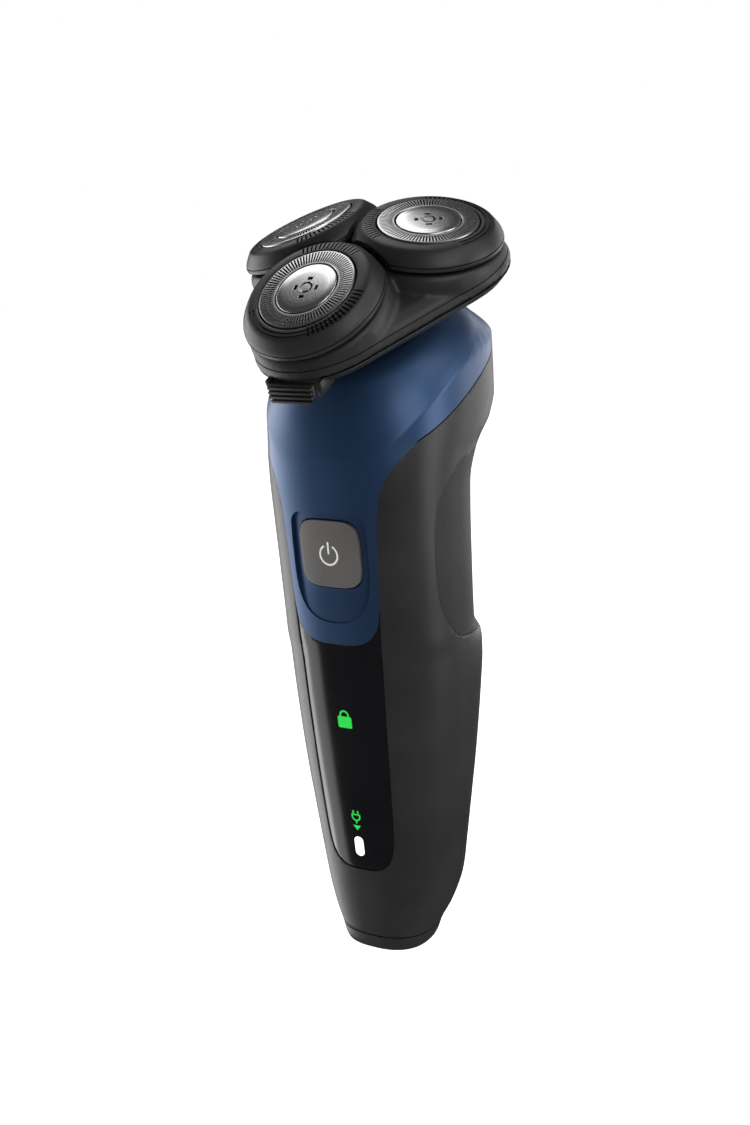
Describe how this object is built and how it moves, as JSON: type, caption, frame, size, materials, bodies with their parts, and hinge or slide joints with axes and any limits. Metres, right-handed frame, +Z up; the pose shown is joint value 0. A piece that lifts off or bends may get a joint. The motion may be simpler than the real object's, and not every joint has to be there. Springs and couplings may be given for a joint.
{
  "type": "electric shaver",
  "caption": "Cordless rotary shaver with floating slotted heads on a tilted hinged shaving unit, a tapered handle with power button and light panel, and a fold-out rear trimmer.",
  "frame": {"origin": "centre of the whole shaver's box on the plane of its flat base", "axes": "+Z up from the base to the heads, -Y towards the front with the button, +X to the shaver's right-hand side as seen from the front"},
  "size_m": [0.0598, 0.0624, 0.1664],
  "materials": {
    "charcoal_shell": "satin",
    "blue_shell": "metallic satin",
    "display_gloss": "piano gloss",
    "grip_rubber": "matte",
    "black_plastic": "satin",
    "trimmer_plastic": "satin",
    "button_grey": "satin",
    "brushed_steel": "brushed",
    "plain_steel": "satin",
    "contact_brass": "satin",
    "frame_plastic": "moulded",
    "clear_plastic": "clear",
    "board_green": "lacquered",
    "cell_wrap": "shrink film"
  },
  "bodies": {
    "handle": {"main_housing": "charcoal_shell", "front_shell": "blue_shell", "display_window": "display_gloss", "rear_grip": "grip_rubber", "base_cap": "charcoal_shell", "charging_socket": "black_plastic", "contact_pin_left": "contact_brass", "contact_pin_right": "contact_brass", "chassis": "frame_plastic", "battery_cell": "cell_wrap", "battery_tab_top": "plain_steel", "battery_tab_bottom": "plain_steel", "circuit_board": "board_green", "tactile_switch": "frame_plastic", "lock_light_guide": "clear_plastic", "plug_light_guide": "clear_plastic", "bar_light_guide": "clear_plastic", "drive_motor": "plain_steel", "neck_collar": "black_plastic", "shaft_seal": "grip_rubber", "housing_screw_left": "plain_steel", "housing_screw_right": "plain_steel", "trimmer_bracket": "frame_plastic", "trimmer_pin": "plain_steel"},
    "power_button": {"power_button": "button_grey"},
    "drive": {"drive_coupling": "frame_plastic"},
    "trimmer": {"trimmer_arm": "trimmer_plastic", "trimmer_comb": "brushed_steel"},
    "trimmer_blade": {"trimmer_blade": "brushed_steel"},
    "trimmer_release": {"trimmer_release": "black_plastic"},
    "unit_base": {"unit_chamber": "black_plastic", "cover_hinge_pin": "plain_steel", "gear_plate": "black_plastic"},
    "release_latch": {"release_latch": "black_plastic"},
    "centre_gear": {"centre_gear": "frame_plastic"},
    "head_cover": {"head_cover": "black_plastic", "cutter_retainer": "frame_plastic"},
    "front_spindle": {"front_spindle_gear": "frame_plastic"},
    "front_head": {"front_head_ring": "black_plastic", "front_slotted_cap": "brushed_steel", "front_cap_disc": "brushed_steel"},
    "front_cutter": {"front_cutter": "brushed_steel"},
    "right_spindle": {"right_spindle_gear": "frame_plastic"},
    "right_head": {"right_head_ring": "black_plastic", "right_slotted_cap": "brushed_steel", "right_cap_disc": "brushed_steel"},
    "right_cutter": {"right_cutter": "brushed_steel"},
    "left_spindle": {"left_spindle_gear": "frame_plastic"},
    "left_head": {"left_head_ring": "black_plastic", "left_slotted_cap": "brushed_steel", "left_cap_disc": "brushed_steel"},
    "left_cutter": {"left_cutter": "brushed_steel"}
  },
  "joints": [
    {"name": "power_button_press", "type": "slide", "parent": "handle", "child": "power_button", "axis": [0, 1, 0], "range_m": [0, 0.0006], "stiffness_N_per_m": 600},
    {"name": "drive_spin", "type": "hinge", "parent": "handle", "child": "drive", "pos_m": [0, -0.00499, 0.15834], "axis": [0, -0.4201, 0.9075], "continuous": true},
    {"name": "trimmer_fold", "type": "hinge", "parent": "handle", "child": "trimmer", "pos_m": [0, 0.0123, 0.1045], "axis": [1, 0, 0], "range_deg": [0, 90]},
    {"name": "trimmer_blade_stroke", "type": "slide", "parent": "trimmer", "child": "trimmer_blade", "axis": [1, 0, 0], "range_m": [-0.0007, 0.0007]},
    {"name": "trimmer_release_slide", "type": "slide", "parent": "handle", "child": "trimmer_release", "axis": [0, -0.124, -0.9923], "range_m": [0, 0.003], "stiffness_N_per_m": 300},
    {"name": "unit_pull_off", "type": "slide", "parent": "handle", "child": "unit_base", "axis": [0, -0.4201, 0.9075], "range_m": [0, 0.014]},
    {"name": "release_latch_press", "type": "slide", "parent": "unit_base", "child": "release_latch", "axis": [0, 0.9075, 0.4201], "range_m": [0, 0.0009], "stiffness_N_per_m": 500},
    {"name": "cover_open", "type": "hinge", "parent": "unit_base", "child": "head_cover", "pos_m": [0, 0.02314, 0.15709], "axis": [-1, 0, 0], "range_deg": [0, 95]},
    {"name": "centre_gear_spin", "type": "hinge", "parent": "unit_base", "child": "centre_gear", "pos_m": [0, 0.00131, 0.14473], "axis": [0, -0.4201, 0.9075], "continuous": true},
    {"name": "front_spindle_spin", "type": "hinge", "parent": "unit_base", "child": "front_spindle", "pos_m": [0, -0.01348, 0.13788], "axis": [0, -0.4201, 0.9075], "continuous": true},
    {"name": "front_head_tilt", "type": "hinge", "parent": "head_cover", "child": "front_head", "pos_m": [0, -0.02101, 0.15093], "axis": [1, 0, 0], "range_deg": [-3, 3], "stiffness_Nm_per_rad": 0.5},
    {"name": "front_cutter_spin", "type": "hinge", "parent": "front_head", "child": "front_cutter", "pos_m": [0, -0.02101, 0.15093], "axis": [0, -0.6362, 0.7715], "continuous": true},
    {"name": "right_spindle_spin", "type": "hinge", "parent": "unit_base", "child": "right_spindle", "pos_m": [0.01412, 0.00871, 0.14815], "axis": [0, -0.4201, 0.9075], "continuous": true},
    {"name": "right_head_tilt", "type": "hinge", "parent": "head_cover", "child": "right_head", "pos_m": [0.01528, 0.00302, 0.16205], "axis": [-0.5, 0.7859, 0.3638], "range_deg": [-3, 3], "stiffness_Nm_per_rad": 0.5},
    {"name": "right_cutter_spin", "type": "hinge", "parent": "right_head", "child": "right_cutter", "pos_m": [0.01528, 0.00302, 0.16205], "axis": [0.2193, -0.2915, 0.9311], "continuous": true},
    {"name": "left_spindle_spin", "type": "hinge", "parent": "unit_base", "child": "left_spindle", "pos_m": [-0.01412, 0.00871, 0.14815], "axis": [0, -0.4201, 0.9075], "continuous": true},
    {"name": "left_head_tilt", "type": "hinge", "parent": "head_cover", "child": "left_head", "pos_m": [-0.01528, 0.00302, 0.16205], "axis": [-0.5, -0.7859, -0.3638], "range_deg": [-3, 3], "stiffness_Nm_per_rad": 0.5},
    {"name": "left_cutter_spin", "type": "hinge", "parent": "left_head", "child": "left_cutter", "pos_m": [-0.01528, 0.00302, 0.16205], "axis": [-0.2193, -0.2915, 0.9311], "continuous": true}
  ],
  "couplings": [
    {"joint": "centre_gear_spin", "follows": "drive_spin", "ratio": 1},
    {"joint": "front_spindle_spin", "follows": "drive_spin", "ratio": -1.8},
    {"joint": "front_cutter_spin", "follows": "drive_spin", "ratio": -1.8},
    {"joint": "right_spindle_spin", "follows": "drive_spin", "ratio": -1.8},
    {"joint": "right_cutter_spin", "follows": "drive_spin", "ratio": -1.8},
    {"joint": "left_spindle_spin", "follows": "drive_spin", "ratio": -1.8},
    {"joint": "left_cutter_spin", "follows": "drive_spin", "ratio": -1.8}
  ]
}
